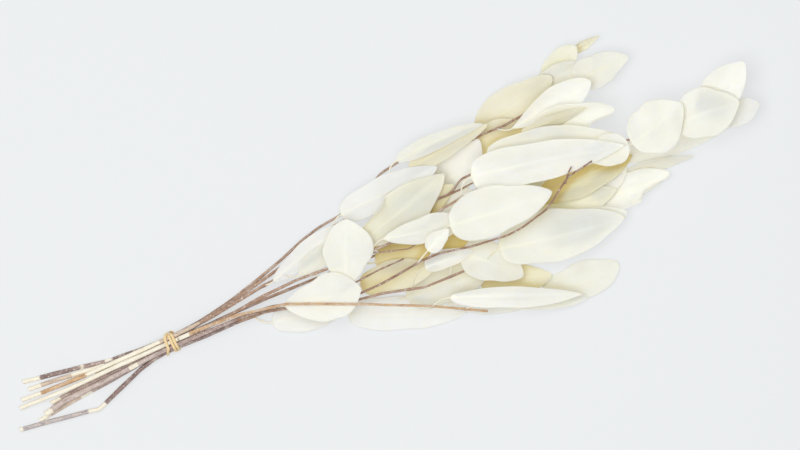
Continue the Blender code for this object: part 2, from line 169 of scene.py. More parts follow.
TOP_EDGE = Stem(
    1, 0, 1.25, 0.0, (2.3, 0.9),
    [(-133, 22), (-117, 19), (-80, 13), (-56, 8), (-30, 6), (30, 7), (64, 13), (90, 20), (115, 27),
     (141, 36), (158, 40), (179, 42), (205, 50), (226, 61), (251, 65), (285, 64), (325, 62),
     (352, 65), (378, 73), (400, 83), (412, 88)],
    [(-133, "peeled"), (-117, "dark"), (-82, "peeled"), (-78, "mauve"), (-59, "peeled"),
     (-53, "dark"), (30, "brown")],
    [Leaf((419, 91), (448, 93), 11, "taupe", 0.3, 40, rise=8),
     Leaf((387, 77), (426, 93), 23, "beige", 0.2, rise=6, belly=0.5),
     Leaf((370, 66), (424, 79), 26, "mist"),
     Leaf((318, 61), (396, 77), 33, "taupe", 0.2, rise=3),
     Leaf((304, 55), (366, 42), 30, "sand"),
     Leaf((214, 40), (285, 30), 30, "shaded_ochre")])

LOW_BACK = Stem(
    2, 0, -0.75, 0.0, (2.3, 0.9),
    [(-133, -15), (-100, -11), (-60, -8), (-25, -4.5), (30, -4), (60, -5), (85, -8), (110, -14),
     (150, -31), (190, -43), (230, -54), (270, -63), (305, -76)],
    [(-133, "peeled"), (-122, "tan"), (-92, "peeled"), (-80, "mauve"), (60, "brown")],
    [Leaf((314, -84), (383, -94), 33, "mist", rise=3, belly=0.55, bow=-0.14),
     Leaf((234, -64), (318, -98), 24, "faint", 0.1),
     Leaf((266, -62), (326, -81), 28, "sand"),
     Leaf((150, -39), (245, -80), 31, "faint", 0.1),
     Leaf((203, -47), (288, -52), 38, "grey"),
     Leaf((87, -19), (155, -37), 27, "faint", 0.1)])

CENTRE_BACK = Stem(
    3, 0, 0.25, 0.3, (2.2, 0.9),
    [(-72, 2), (-40, 0.5), (-20, 1), (30, 1.5), (60, 2), (90, 2), (120, 1), (150, 0), (185, -2),
     (208, -3), (235, 0), (262, 3), (290, 0), (320, -6), (350, -13), (385, -20), (416, -22)],
    [(-72, "tan"), (-40, "mauve"), (80, "brown")],
    [Leaf((424, -12), (548, -21), 30, "white"),
     Leaf((420, -25), (480, -36), 14, "mist", 0.1, 40, rise=4),
     Leaf((390, -38), (456, -41), 31, "white", 0.3, -15, rise=3,
          folds=(Fold(-1, 0.6, 130, 0.5, 0.95),)),
     Leaf((384, -32), (424, -20), 22, "white"),
     Leaf((334, -26), (408, -35), 30, "beige"),
     Leaf((322, -6), (432, -14), 37, "shaded_ochre", belly=0.55),
     Leaf((304, 4), (366, 3), 27, "cream", rise=8),
     Leaf((254, 18), (316, 53), 42, "white", 0.3, rise=7, belly=0.6),
     Leaf((236, 10), (292, 16), 30, "white", rise=7, belly=0.5),
     Leaf((192, 8), (280, 26), 30, "shaded_ochre"),
     Leaf((190, -8), (296, -22), 32, "shaded_ochre"),
     Leaf((170, -21), (240, -32), 28, "sand")])

UPPER_PAIR = Stem(
    4, 1, 0.75, 0.6, (2.2, 0.9),
    [(-131, 14), (-100, 11), (-60, 6), (-25, 4), (30, 6), (60, 11), (90, 17), (115, 22), (141, 30),
     (165, 35), (190, 38), (215, 41), (246, 50), (266, 55), (282, 53), (321, 56), (340, 55),
     (370, 58), (402, 61)],
    [(-131, "peeled"), (-118, "tan"), (-90, "peeled"), (-62, "mauve"), (30, "brown"), (240, "umber")],
    [Leaf((413, 64), (464, 66), 30, "mist", rise=7, belly=0.32),
     Leaf((346, 50), (425, 60), 28, "white", 0.25, rise=8, belly=0.64),
     Leaf((250, 54), (328, 62), 17, "sand"),
     Leaf((243, 65), (324, 64), 15, "mist", bow=0.03),
     Leaf((180, 42), (273, 46), 29, "faint", 0.1)],
    shoots=([(256, 53), (264, 59), (271, 63)],))

LOWER_DARK = Stem(
    5, 1, -1.25, 0.6, (2.3, 1.0),
    [(-152, -15), (-120, -20), (-89, -25), (-81, -27), (-73, -24), (-35, -10), (-20, -6.5),
     (30, -6.5), (60, -6.5), (85, -8), (120, -17), (161, -31), (185, -35), (221, -45), (255, -46),
     (285, -46), (318, -50)],
    [(-152, "peeled"), (-149, "grey"), (-91, "peeled"), (-74, "dark"), (60, "brown")],
    [Leaf((336, -50), (408, -57), 30, "grey"),
     Leaf((262, -31), (303, -71), 36, "ivory"),
     Leaf((293, -41), (404, -60), 46, "ivory", 0.2, rise=3),
     Leaf((228, -29), (272, -33), 17, "white", 0.3)])

UPPER_THIN = Stem(
    6, 2, 1.25, 0.6, (2.2, 0.9),
    [(-140, 8), (-122, 6.5), (-79, 5), (-50, 5), (-25, 5), (30, 6), (60, 9), (90, 13), (115, 14),
     (150, 16), (185, 18), (215, 19), (246, 21), (273, 20), (288, 28), (299, 28), (330, 33),
     (362, 36), (388, 38)],
    [(-140, "peeled"), (-122, "orange"), (-79, "peeled"), (-10, "tan"), (30, "brown"),
     (180, "umber")],
    [Leaf((362, 40), (434, 29), 28, "ivory", 0.3, rise=4,
          folds=(Fold(-1, 0.5, 100, 0.6, 0.95),)),
     Leaf((352, 43), (412, 40), 14, "taupe", 0.1, 35),
     Leaf((316, 37), (424, 11), 30, "ivory"),
     Leaf((188, 14), (276, 38), 38, "beige", 0.25, belly=0.42,
          folds=(Fold(1, 0.72, 150, 0.02, 0.42),)),
     Leaf((103, 13), (182, 34), 20, "faint", belly=0.5),
     Leaf((126, 9), (174, 22), 18, "mist")],
    shoots=([(270, 20), (285, 20), (299, 21)],))

RIGHT_TIP = Stem(
    7, 1, -0.25, 0.6, (2.2, 0.9),
    [(-118, -5), (-80, -3), (-50, -2), (-25, -1), (30, 0), (60, 2), (90, 5), (120, 6), (150, 4),
     (185, 3), (208, 2), (235, 5), (262, 11), (290, 14), (330, 15), (370, 11), (405, 5), (440, -1),
     (475, -5), (503, -3)],
    [(-118, "peeled"), (-108, "mauve"), (40, "brown")],
    [Leaf((505, -14), (551, -17), 23, "faint", rise=2, belly=0.55),
     Leaf((498, -8), (553, 21), 34, "white", 0.15, 4, rise=7, belly=0.44),
     Leaf((475, -4), (535, -9), 44, "ivory", 0.15, -6, rise=2, belly=0.46),
     Leaf((435, -4), (489, 10), 46, "ivory", 0.1, rise=3, belly=0.43),
     Leaf((384, 4), (432, -6), 30, "ivory", belly=0.72),
     Leaf((296, 26), (429, -3), 37, "white", 0.2, rise=2, belly=0.3, bow=-0.008),
     Leaf((205, 8), (274, -5), 25, "ivory", 0.15, belly=0.6),
     Leaf((158, -15), (182, 37), 43, "ivory", 0.12, belly=0.56)],
    shoots=([(178, 3), (188, 2), (205, -4), (222, -9), (233, -7)],))

ZIGZAG = Stem(
    8, 2, -0.75, 0.6, (3.2, 0.8),
    [(-126, -12), (-105, -8), (-81, -7), (-38, -5), (-20, -3.5), (30, -3.5), (60, -4), (90, -6),
     (115, -12), (140, -21), (164, -27), (189, -27), (226, -23), (243, -23), (272, -29), (304, -33),
     (318, -32), (345, -26), (372, -8), (397, -4)],
    [(-126, "peeled"), (-118, "fawn"), (-42, "peeled"), (-34, "fawn"), (-5, "mauve"), (60, "umber")],
    [Leaf((262, -5), (355, -14), 43, "ivory", 0.12, rise=2),
     Leaf((236, -17), (260, -7), 16, "white", 0.5),
     Leaf((103, -10), (170, -23), 42, "ivory", 0.12, belly=0.6)],
    shoots=([(140, -22), (163, -17), (190, -15), (214, -15)], [(368, -12), (375, -4), (379, -1)]))

LOWER_TAN = Stem(
    9, 2, 0.25, 0.6, (2.2, 1.0),
    [(-144, 2), (-100, 0), (-50, 1), (-25, 1), (30, 1), (63, -1), (104, -9), (125, -18),
     (167, -37), (219, -62), (262, -86)],
    [(-144, "peeled"), (18, "orange")],
    [Leaf((280, -84), (347, -111), 19, "grey"),
     Leaf((237, -62), (343, -106), 19, "white", 0.3, 12, belly=0.45)],
    slender=70.0)

STEMS = (TOP_EDGE, LOW_BACK, CENTRE_BACK, UPPER_PAIR, LOWER_DARK, UPPER_THIN, RIGHT_TIP, ZIGZAG,
         LOWER_TAN)
print(len(STEMS), "stems and", sum(len(stem.leaves) for stem in STEMS), "leaves")

# %% [markdown]
# ## The heap
#
# On the real bunch each branch rests on those below it. The heap is a height map of 1 mm cells that
# remembers the top of all that already lies there, so a new piece only asks how high it has to be.

# %% Height map of what already lies there
CELL = 1.0
HEAP_CORNER = (-175.0, -150.0)
HEAP_CELLS = (760, 290)
# The gap kept between pieces, and how far a limp cover falls away beside a bump, in millimetres per
# square millimetre of distance.
CLEARANCE = 0.6
LEAF_BEND = 0.0035
ACROSS_BEND = 0.0012
STEM_BEND = 0.0012
STEM_STIFFNESS = 0.8


class Heap:
    """Top heights, in millimetres, of what already lies on the surface."""

    def __init__(self):
        self.everything = np.zeros(HEAP_CELLS)
        self.blades = np.zeros(HEAP_CELLS)

    @staticmethod
    def cells(x, y):
        """Indices of the cells at the given plan places."""
        column = ((x - HEAP_CORNER[0]) / CELL).astype(int)
        row = ((y - HEAP_CORNER[1]) / CELL).astype(int)
        return np.clip(column, 0, HEAP_CELLS[0] - 1), np.clip(row, 0, HEAP_CELLS[1] - 1)

    def floor_under(self, grid, x, y):
        """Least height of an underside: the bare surface, or what lies there plus a clearance."""
        top = grid[self.cells(x, y)]
        return np.where(top > 0, top + CLEARANCE, 0.0)

    def add(self, x, y, z, is_blade):
        """Raise the heap to the given heights, in each cell and those round it."""
        grids = (self.everything, self.blades) if is_blade else (self.everything,)
        for grid in grids:
            for step_x in (-CELL, 0.0, CELL):
                for step_y in (-CELL, 0.0, CELL):
                    np.maximum.at(grid, self.cells(x + step_x, y + step_y), z)


def concave_cover(places, heights):
    """Lowest arch, never bending upwards, over the given points: how a stiff strip spans bumps."""
    arch = []
    for place, height in zip(places, heights):
        while len(arch) > 1:
            (x1, z1), (x2, z2) = arch[-2:]
            if (z2 - z1) * (place - x1) > (height - z1) * (x2 - x1):
                break
            arch.pop()
        arch.append((place, height))
    return np.interp(places, [p[0] for p in arch], [p[1] for p in arch])


def limp_cover(places, heights, bend):
    """Cover that falls away beside each bump no faster than a thin strip bends, along axis 0."""
    drop = bend * (places[:, None] - places[None, :]) ** 2
    return (heights[None] - drop.reshape(drop.shape + (1,) * (heights.ndim - 1))).max(axis=1)


heap = Heap()
print("heap of", heap.everything.size, "cells")

# %% [markdown]
# ## A master twig
#
# A twig is round in section, thicker at the cut end, swollen at each node. It could be a curve with
# a bevel, but its knots, its scars and its slanted cut need more control. So one straight twig is
# modelled from a cylinder, with many rings and inset end faces, and every stem is a copy of it whose
# rings are moved along the stem's route.

# %% Model the master twig
TWIG_SIDES = 12
STEM_CUTS = (98, 2)
SHOOT_CUTS = (24,)
SAME_HEIGHT = 1e-3
END_FACE_UPRIGHT = 0.9
# Steps inwards on the cut face, as shares of the radius, so that its rim and its pith can be told.
CUT_INSETS = (0.3, 0.45)


def select_none():
    """Deselect everything, because an operator acts on all that is selected."""
    bpy.ops.object.select_all(action="DESELECT")


def select_mode_in_edit(kind):
    """Enter edit mode with nothing selected, ready to select vertices, edges or faces."""
    bpy.ops.object.mode_set(mode="EDIT")
    bpy.ops.mesh.select_mode(type=kind)
    bpy.ops.mesh.select_all(action="DESELECT")
    bpy.ops.object.mode_set(mode="OBJECT")


def turn_outwards(piece):
    """Make all faces of a closed piece look outwards, and shade it smooth."""
    select_none()
    piece.select_set(True)
    bpy.context.view_layer.objects.active = piece
    bpy.ops.object.mode_set(mode="EDIT")
    bpy.ops.mesh.select_all(action="SELECT")
    bpy.ops.mesh.normals_make_consistent(inside=False)
    bpy.ops.object.mode_set(mode="OBJECT")
    bpy.ops.object.shade_smooth()


def master_twig(name, cuts_in_turn):
    """Straight cylinder along Z from -1 to 1, cut into rings, with an inset at both ends."""
    select_none()
    bpy.ops.mesh.primitive_cylinder_add(vertices=TWIG_SIDES, radius=1, depth=2)
    twig = bpy.context.object
    twig.name = name
    for cuts in cuts_in_turn:
        select_mode_in_edit("EDGE")
        heights = [vertex.co.z for vertex in twig.data.vertices]
        for edge in twig.data.edges:
            edge.select = abs(heights[edge.vertices[0]] - heights[edge.vertices[1]]) > SAME_HEIGHT
        bpy.ops.object.mode_set(mode="EDIT")
        bpy.ops.mesh.subdivide(number_cuts=cuts)
        bpy.ops.object.mode_set(mode="OBJECT")
    select_mode_in_edit("FACE")
    for face in twig.data.polygons:
        face.select = abs(face.normal.z) > END_FACE_UPRIGHT
    bpy.ops.object.mode_set(mode="EDIT")
    for thickness in CUT_INSETS:
        bpy.ops.mesh.inset(thickness=thickness)
    bpy.ops.object.mode_set(mode="OBJECT")
    rings = len({round(vertex.co.z, 5) for vertex in twig.data.vertices})
    print(name, "rings:", rings, "faces:", len(twig.data.polygons))
    return twig, rings


stem_master, STEM_RINGS = master_twig("stem_master", STEM_CUTS)
shoot_master, SHOOT_RINGS = master_twig("shoot_master", SHOOT_CUTS)

# %% [markdown]
# ## The route of a stem
#
# A stem crosses the tie straight. From there it follows its own route, and it thins from the cut to
# the tip. A leaf's stalk leaves it a little short of the blade, as stalks lean towards the tip.

# %% Route and radius of a stem
TIE_RADIUS = 1.9
TIE_PITCH = 4.2
TIE_HALF_LENGTH = 8.0
TIE_TAPER = 12.0
BAND_RADIUS = 0.65
BAND_CLEARANCE = 0.35
CUT_TAPER = 0.88
WAIST_SHARE = 0.4
SWELL_FROM_X = 70.0
KNOT_SWELL = 1.22
TIE_BASE = 2 * BAND_RADIUS + BAND_CLEARANCE + TIE_RADIUS
ROW_RISE = TIE_PITCH * math.sin(math.radians(60))
STALK_RUN = 9.0
STALK_SLANT = 0.6
SPARE_AT_TIP = 2.0


def tie_place(stem):
    """Where a stem's axis crosses the tie: y and z in millimetres."""
    return stem.side * TIE_PITCH, TIE_BASE + stem.row * ROW_RISE


def polyline_lengths(points):
    """Distance along a polyline at each of its points."""
    return np.concatenate([[0.0], np.cumsum(np.hypot(*np.diff(points, axis=0).T))])


def smooth(values, passes):
    """Even out a row of values or points, with its two ends kept."""
    values = np.array(values, float)
    for _ in range(passes):
        values[1:-1] = (values[:-2] + 2 * values[1:-1] + values[2:]) / 4
    return values


def unit(vectors):
    """The same directions with length 1."""
    return vectors / np.linalg.norm(vectors, axis=-1, keepdims=True)


def even_route(route, count, passes):
    """Evenly spaced points along a route and their distances along it, with its bends rounded."""
    route = np.array(route, float)
    lengths = polyline_lengths(route)
    even = np.linspace(0, lengths[-1], count)
    plan = np.column_stack([np.interp(even, lengths, route[:, axis]) for axis in (0, 1)])
    return smooth(plan, passes), even


def stem_radius(stem, x):
    """Radius along a stem: thick at the cut end, a set size in the tie, thin at the tip."""
    cut, tip = stem.radii
    start, end = stem.route[0][0], stem.route[-1][0]
    waist = WAIST_SHARE * (tip + TIE_RADIUS)
    return np.interp(x, [start, -TIE_HALF_LENGTH - TIE_TAPER, TIE_HALF_LENGTH, stem.slender, end],
                     [CUT_TAPER * cut, TIE_RADIUS, TIE_RADIUS, waist, tip])


def stem_plan(stem):
    """Evenly spaced plan points of a stem, with its bends a little rounded."""
    tie_y, _ = tie_place(stem)
    tie_points = [(-TIE_HALF_LENGTH, tie_y), (TIE_HALF_LENGTH, tie_y)]
    before = [point for point in stem.route if point[0] < 0]
    after = [point for point in stem.route if point[0] > 0]
    return even_route(before + tie_points + after, STEM_RINGS, 3)[0]


def leaf_root(leaf, plan, places):
    """Distance along the stem at which a leaf's stalk leaves it, a little short of the blade."""
    away = np.hypot(*(plan - leaf.base).T)
    nearest = places[away.argmin()]
    before = STALK_SLANT * away.min() + STALK_RUN
    return float(np.clip(nearest - before, 0.0, places[-1] - SPARE_AT_TIP))


print("the tie's lowest stem axis is", round(TIE_BASE, 2), "mm up")

# %% [markdown]
# ## Laying a stem
#
# A stem lies on the surface, on other stems or on leaves. Its height is the lowest curve that clears
# all of them and bends no more than a dry twig can. Beside other stems the round sections give the
# height, which is finer than the cells of the heap.

# %% Height of a stem
# How many lines along a twig feel for the heap, and how many mark it there once it is laid.
PROBES_ACROSS = 5
MARKS_ACROSS = 7


def beside_stems(plan, radius, laid):
    """Least axis height beside stems that are already laid, from their round sections."""
    need = np.zeros(len(plan))
    for other_points, other_radius in laid:
        reach = radius[:, None] + other_radius[None, :] + CLEARANCE
        apart = np.hypot(plan[:, None, 0] - other_points[None, :, 0],
                         plan[:, None, 1] - other_points[None, :, 1])
        over = np.sqrt(np.maximum(reach ** 2 - apart ** 2, 0.0)) + other_points[None, :, 2]
        need = np.maximum(need, np.where(apart < reach, over, 0.0).max(axis=1))
    return need


def side_of(plan):
    """Unit vector to the left of a line, at each of its points."""
    heading = np.gradient(plan, axis=0)
    return np.column_stack([-heading[:, 1], heading[:, 0]]) / np.hypot(*heading.T)[:, None]


def lay_twig(plan, radius, fixed, heap, laid):
    """Heights of a twig's axis; fixed marks points whose height is set, by the tie or a parent."""
    side = side_of(plan)
    places = polyline_lengths(plan)
    need = np.maximum(radius, beside_stems(plan, radius, laid))
    for share in np.linspace(-1, 1, PROBES_ACROSS):
        spot = plan + side * (share * radius)[:, None]
        under = heap.floor_under(heap.blades, spot[:, 0], spot[:, 1])
        need = np.maximum(need, under + radius * math.sqrt(1 - share ** 2))
    held = ~np.isnan(fixed)
    heights = np.where(held, fixed, 0.0)
    first, last = np.flatnonzero(held)[[0, -1]]
    for part in (slice(0, first + 1), slice(last, len(plan))):
        wanted = need[part].copy()
        wanted[held[part]] = heights[part][held[part]]
        drooping = limp_cover(places[part], wanted, STEM_BEND)
        arch = concave_cover(places[part], drooping)
        heights[part] = STEM_STIFFNESS * arch + (1 - STEM_STIFFNESS) * drooping
    heights[held] = fixed[held]
    return np.column_stack([plan, heights])


def remember_twig(points, radius, heap, laid):
    """Add a laid twig to the heap."""
    laid.append((points, radius))
    side = side_of(points[:, :2])
    for share in np.linspace(-1, 1, MARKS_ACROSS):
        spot = points[:, :2] + side * (share * radius)[:, None]
        heap.add(spot[:, 0], spot[:, 1], points[:, 2] + radius * math.sqrt(1 - share ** 2), False)


print("a stem spans hollows with", STEM_STIFFNESS, "of the height of a stiff one")

# %% [markdown]
# ## Values kept on a mesh
#
# One material can serve many pieces when it reads what differs from the piece itself. So tones are
# kept as a colour or a value at each point, and a UV map gives the way along a stem or a blade.

# %% Helpers that copy a master and store values on it


def store_attribute(mesh, name, kind, values):
    """Keep one value or colour for each point of a mesh."""
    attribute = mesh.attributes.new(name, kind, "POINT")
    field = "color" if kind == "FLOAT_COLOR" else "value"
    attribute.data.foreach_set(field, np.asarray(values, np.float32).ravel())


def store_uv(mesh, name, across, along):
    """UV map from two values for each point."""
    corners = np.zeros(len(mesh.loops), int)
    mesh.loops.foreach_get("vertex_index", corners)
    layer = mesh.uv_layers.get(name) or mesh.uv_layers.new(name=name)
    values = np.column_stack([across, along])[corners]
    layer.data.foreach_set("uv", values.astype(np.float32).ravel())


def master_points(master):
    """Points of a mesh as an array."""
    points = np.zeros(len(master.data.vertices) * 3)
    master.data.vertices.foreach_get("co", points)
    return points.reshape(-1, 3)


def copy_of(master, name):
    """A copy of a master piece with its own mesh."""
    piece = bpy.data.objects.new(name, master.data.copy())
    bpy.context.scene.collection.objects.link(piece)
    return piece


print("a stem is a copy of", len(master_points(stem_master)), "points")

# %% [markdown]
# ## Bark on the twig
#
# Real stems have a node every few centimetres, where leaves grew, small ridges along the bark, and a
# clean slanted cut. The rings get these as small changes of radius. Colour follows the stem: most is
# mauve to brown bark, and some stretches are peeled to the cream wood. The tone and the share of
# peeling are stored at each point as attributes, which the bark material reads. A few thin shoots
# branch off. They are copies of a shorter master, laid on the heap in the same way.

# %% Shape and tones of a stem
BARK_TONES = {"mauve": "B8A39C", "dark": "97807B", "umber": "9F7D68", "brown": "B3947E",
              "tan": "DDCAB4", "orange": "D6B187", "grey": "C4BCBB", "fawn": "CCBCB4",
              "peeled": "F2E8CC"}
KNOT_LENGTH = 2.4
WAVER = 0.05
WAVER_LENGTHS = (7, 23)
# How many ridges go round a stem, how high they are, and how far along it they turn by a radian.
RIDGES = ((3, 0.035, 9.0), (5, 0.025, -6.0))
CUT_SLANT = 0.3
SHOOT_RADII = (0.95, 0.6)
BARK_UV_LENGTH = 20.0
BARK_REACH = 0.99
rng = np.random.default_rng(7)


def knobbly(places, radius, knots):
    """Radius with a swelling at each knot and slow changes in between."""
    quick, slow = WAVER_LENGTHS
    waver = np.sin(places / quick + rng.uniform(0, 6)) * np.sin(places / slow)
    swollen = radius * (1 + WAVER * waver)
    for knot in knots:
        swollen *= 1 + (KNOT_SWELL - 1) * np.exp(-((places - knot) / KNOT_LENGTH) ** 2)
    return swollen


def twig_piece(master, name, points, radius, places, tones, peel):
    """Copy of the master twig, bent along points, with its tones stored."""
    piece = copy_of(master, name)
    start = master_points(master)
    ring_count = len(points)
    ring = np.rint((start[:, 2] + 1) / 2 * (ring_count - 1)).astype(int)
    reach = np.hypot(start[:, 0], start[:, 1])
    turn = np.arctan2(start[:, 1], start[:, 0])
    heading = unit(np.gradient(points, axis=0))
    first = unit(np.cross(heading, [0.0, 0.0, 1.0]))
    second = np.cross(first, heading)
    ridges = 1 + sum(height * np.cos(count * turn + places[ring] / pitch)
                     for count, height, pitch in RIDGES)
    on_bark = reach > BARK_REACH
    out = radius[ring] * reach * np.where(on_bark, ridges, 1.0)
    moved = points[ring] + first[ring] * (out * np.cos(turn))[:, None]
    moved += second[ring] * (out * np.sin(turn))[:, None]
    slant = CUT_SLANT * (radius[0] + out * np.cos(turn))
    moved += heading[ring] * np.where(ring == 0, slant, 0.0)[:, None]
    moved[:, 2] = np.maximum(moved[:, 2], 0.0)
    piece.data.vertices.foreach_set("co", to_part(moved).ravel())
    piece.data.update()
    cap = ((ring == 0) | (ring == ring_count - 1)) & ~on_bark
    colours = np.array([srgb(BARK_TONES[tone]) for tone in tones])[ring]
    store_attribute(piece.data, "bark_tint", "FLOAT_COLOR", colours)
    store_attribute(piece.data, "peel", "FLOAT", np.where(cap, 1.0, peel[ring]))
    store_uv(piece.data, "bark", turn / (2 * math.pi) + 0.5, places[ring] / BARK_UV_LENGTH)
    return piece


def add_shoot(stem, name, route, parent, heap, laid):
    """A thin side twig that starts on the axis of its parent stem."""
    plan, even = even_route(route, SHOOT_RINGS, 2)
    radius = np.linspace(*SHOOT_RADII, SHOOT_RINGS)
    nearest = np.hypot(*(parent[:, :2] - plan[0]).T).argmin()
    fixed = np.full(SHOOT_RINGS, np.nan)
    fixed[0] = parent[nearest, 2]
    points = lay_twig(plan, radius, fixed, heap, laid[:-1])
    tones, peel = bark_along(stem, plan[:, 0])
    bumpy = knobbly(even, radius, [even[-1] / 2, even[-1]])
    remember_twig(points, radius, heap, laid)
    return twig_piece(shoot_master, name, points, bumpy, even, tones, peel)


def bark_along(stem, x):
    """Tone name and share of peeling at each point of a stem."""
    starts = [stop[0] for stop in stem.bark]
    index = np.clip(np.searchsorted(starts, x, side="right") - 1, 0, len(starts) - 1)
    names = [stem.bark[i][1] for i in index]
    peeled = np.array([name == "peeled" for name in names], float)
    solid = [name for name in names if name != "peeled"]
    names = [name if name != "peeled" else solid[0] for name in names]
    return names, smooth(peeled, 3)


print("bark tones:", ", ".join(BARK_TONES))

# %% [markdown]
# ## A master leaf
#
# A blade is a thin sheet with a midrib, on a short round stalk. The master is a grid, given its two
# faces by one extrusion. Its rows run from the stalk's root to the tip and its columns across, so
# every leaf is a copy whose rows and columns are moved to the leaf's own shape.

# %% Model the master leaf
STALK_ROWS = 7
BLADE_ROWS = 42
LEAF_COLUMNS = 20
LEAF_ROWS = STALK_ROWS + BLADE_ROWS

select_none()
bpy.ops.mesh.primitive_grid_add(x_subdivisions=LEAF_ROWS, y_subdivisions=LEAF_COLUMNS, size=2)
leaf_master = bpy.context.object
leaf_master.name = "leaf_master"
bpy.ops.object.mode_set(mode="EDIT")
bpy.ops.mesh.select_all(action="SELECT")
bpy.ops.mesh.extrude_region_move(TRANSFORM_OT_translate={"value": (0, 0, -1)})
bpy.ops.object.mode_set(mode="OBJECT")
turn_outwards(leaf_master)
print("master leaf points:", len(leaf_master.data.vertices))

# %% [markdown]
# ## Outline of a leaf
#
# The outline is an ovate curve: round at the base, widest below the middle, pointed at the tip. No
# two leaves are alike, so each draws how blunt its tip is and how far its sides and midrib stray.

# %% Outline of a leaf
STALK_RADIUS = 0.6
TIP_HALF_WIDTH = 0.3
# Depth of each wander of the outline, how many there are, and how much it is shifted.
WANDERS = ((0.06, 1.3, 1), (0.02, 3.1, 2))
EVEN_ROWS = 0.6
STALK_MERGE = 0.05
STALK_PULL = 0.45
# What differs from leaf to leaf: how blunt the tip is, which half is wider, how the midrib bows, how
# far the blade twists in degrees, and how its margins ripple.
Growth = namedtuple("Growth", "point lopsided bow twist ripples phases")

rows = np.arange(LEAF_ROWS + 1)
columns = np.linspace(-1, 1, LEAF_COLUMNS + 1)
blade_share = np.clip((rows - STALK_ROWS) / BLADE_ROWS, 0, 1)
blade_share = (EVEN_ROWS * blade_share
               + (1 - EVEN_ROWS) * (1 - np.cos(math.pi * blade_share)) / 2)
stalk_share = np.clip(rows / STALK_ROWS, 0, 1)
grown = np.clip(blade_share / STALK_MERGE, 0, 1)


def half_widths(leaf, growth):
    """Half width of the leaf at each row, on its right and left sides."""
    widest = math.log(0.5) / math.log(leaf.belly)
    swell = np.sin(math.pi * blade_share ** widest).clip(0) ** (0.5 + growth.point * blade_share)
    least = np.where(blade_share < 0.5, STALK_RADIUS, TIP_HALF_WIDTH)
    sides = []
    for side, phase in ((-1, growth.phases[0]), (1, growth.phases[1])):
        wander = 1 + side * growth.lopsided + sum(
            depth * np.sin(2 * math.pi * (waves * blade_share + shift * phase))
            for depth, waves, shift in WANDERS)
        sides.append(np.maximum(leaf.width / 2 * swell * wander, least))
    return sides


def centre_line(leaf, root, growth):
    """Plan points of stalk and midrib, row by row, and the direction across each row."""
    base, tip = np.array(leaf.base, float), np.array(leaf.tip, float)
    along = tip - base
    pull = base - along / np.hypot(*along) * STALK_PULL * np.hypot(*(base - root))
    t = stalk_share[:, None]
    stalk = (1 - t) ** 2 * root + 2 * t * (1 - t) * pull + t ** 2 * base
    bend = (growth.bow + leaf.bow) * np.sin(math.pi * blade_share)
    bow = bend[:, None] * np.array([-along[1], along[0]])
    plan = stalk + along * blade_share[:, None] + bow
    return plan, side_of(plan)


def grow():
    """Draw the differences of one leaf."""
    return Growth(point=rng.uniform(0.05, 0.3), lopsided=rng.uniform(-0.12, 0.12),
                  bow=rng.uniform(-0.022, 0.022), twist=rng.uniform(-9, 9),
                  ripples=rng.uniform((1.2, 0, 0), (2.6, 1, 1)), phases=rng.uniform(0, 1, 4))


print("leaf rows and columns:", LEAF_ROWS, LEAF_COLUMNS)

# %% [markdown]
# ## Section of a leaf
#
# Across, a blade is nearly flat in the middle and rises to the edges. It is thickest at the midrib
# and thins to the margin. Dry margins ripple, and some curl over. The shape is worked out by row and
# column, because a leaf that is sculpted by hand could not be laid again on another heap.

# %% Section of a leaf
BLADE_HALF_THICKNESS = 0.2
MIDRIB_HALF_THICKNESS = 0.45
MIDRIB_WIDTH = 0.9
EDGE_THINNING = 0.4
FLAT_SHARE = 0.3
CUP_POWER = 1.6
FOLD_RADIUS = 1.3
FOLD_RUN_IN = 0.08
RIPPLE = 0.05
RIPPLE_POWER = 2.5
UNDULATION = 0.032
# Share of each slow wave of the blade, and how many there are along and across it.
BLADE_WAVES = ((0.6, 0.9, 0.35), (0.4, 2.1, -0.6))


def folded(sideways, width, fold):
    """Sideways and upward place of points across a margin that curls over."""
    beyond = fold.side * sideways - fold.share * width
    into = np.clip((blade_share - fold.run_from) / FOLD_RUN_IN, 0, 1)
    out = np.clip((fold.run_to - blade_share) / FOLD_RUN_IN, 0, 1)
    most = math.radians(fold.angle) * (into * out)[:, None]
    turned = np.clip(beyond / FOLD_RADIUS, 0, most)
    rest = np.maximum(beyond, 0) - FOLD_RADIUS * turned
    lateral = FOLD_RADIUS * np.sin(turned) + rest * np.cos(turned)
    upward = FOLD_RADIUS * (1 - np.cos(turned)) + rest * np.sin(turned)
    return np.where(beyond > 0, fold.side * (fold.share * width + lateral), sideways), upward


def undulation(growth):
    """Slow rise and fall of the whole blade, from -1 to 1, by row and column."""
    u, v = blade_share[:, None], columns[None, :]
    return sum(share * np.sin(2 * math.pi * (along * u + across * v + phase))
               for (share, along, across), phase in zip(BLADE_WAVES, growth.phases[2:]))


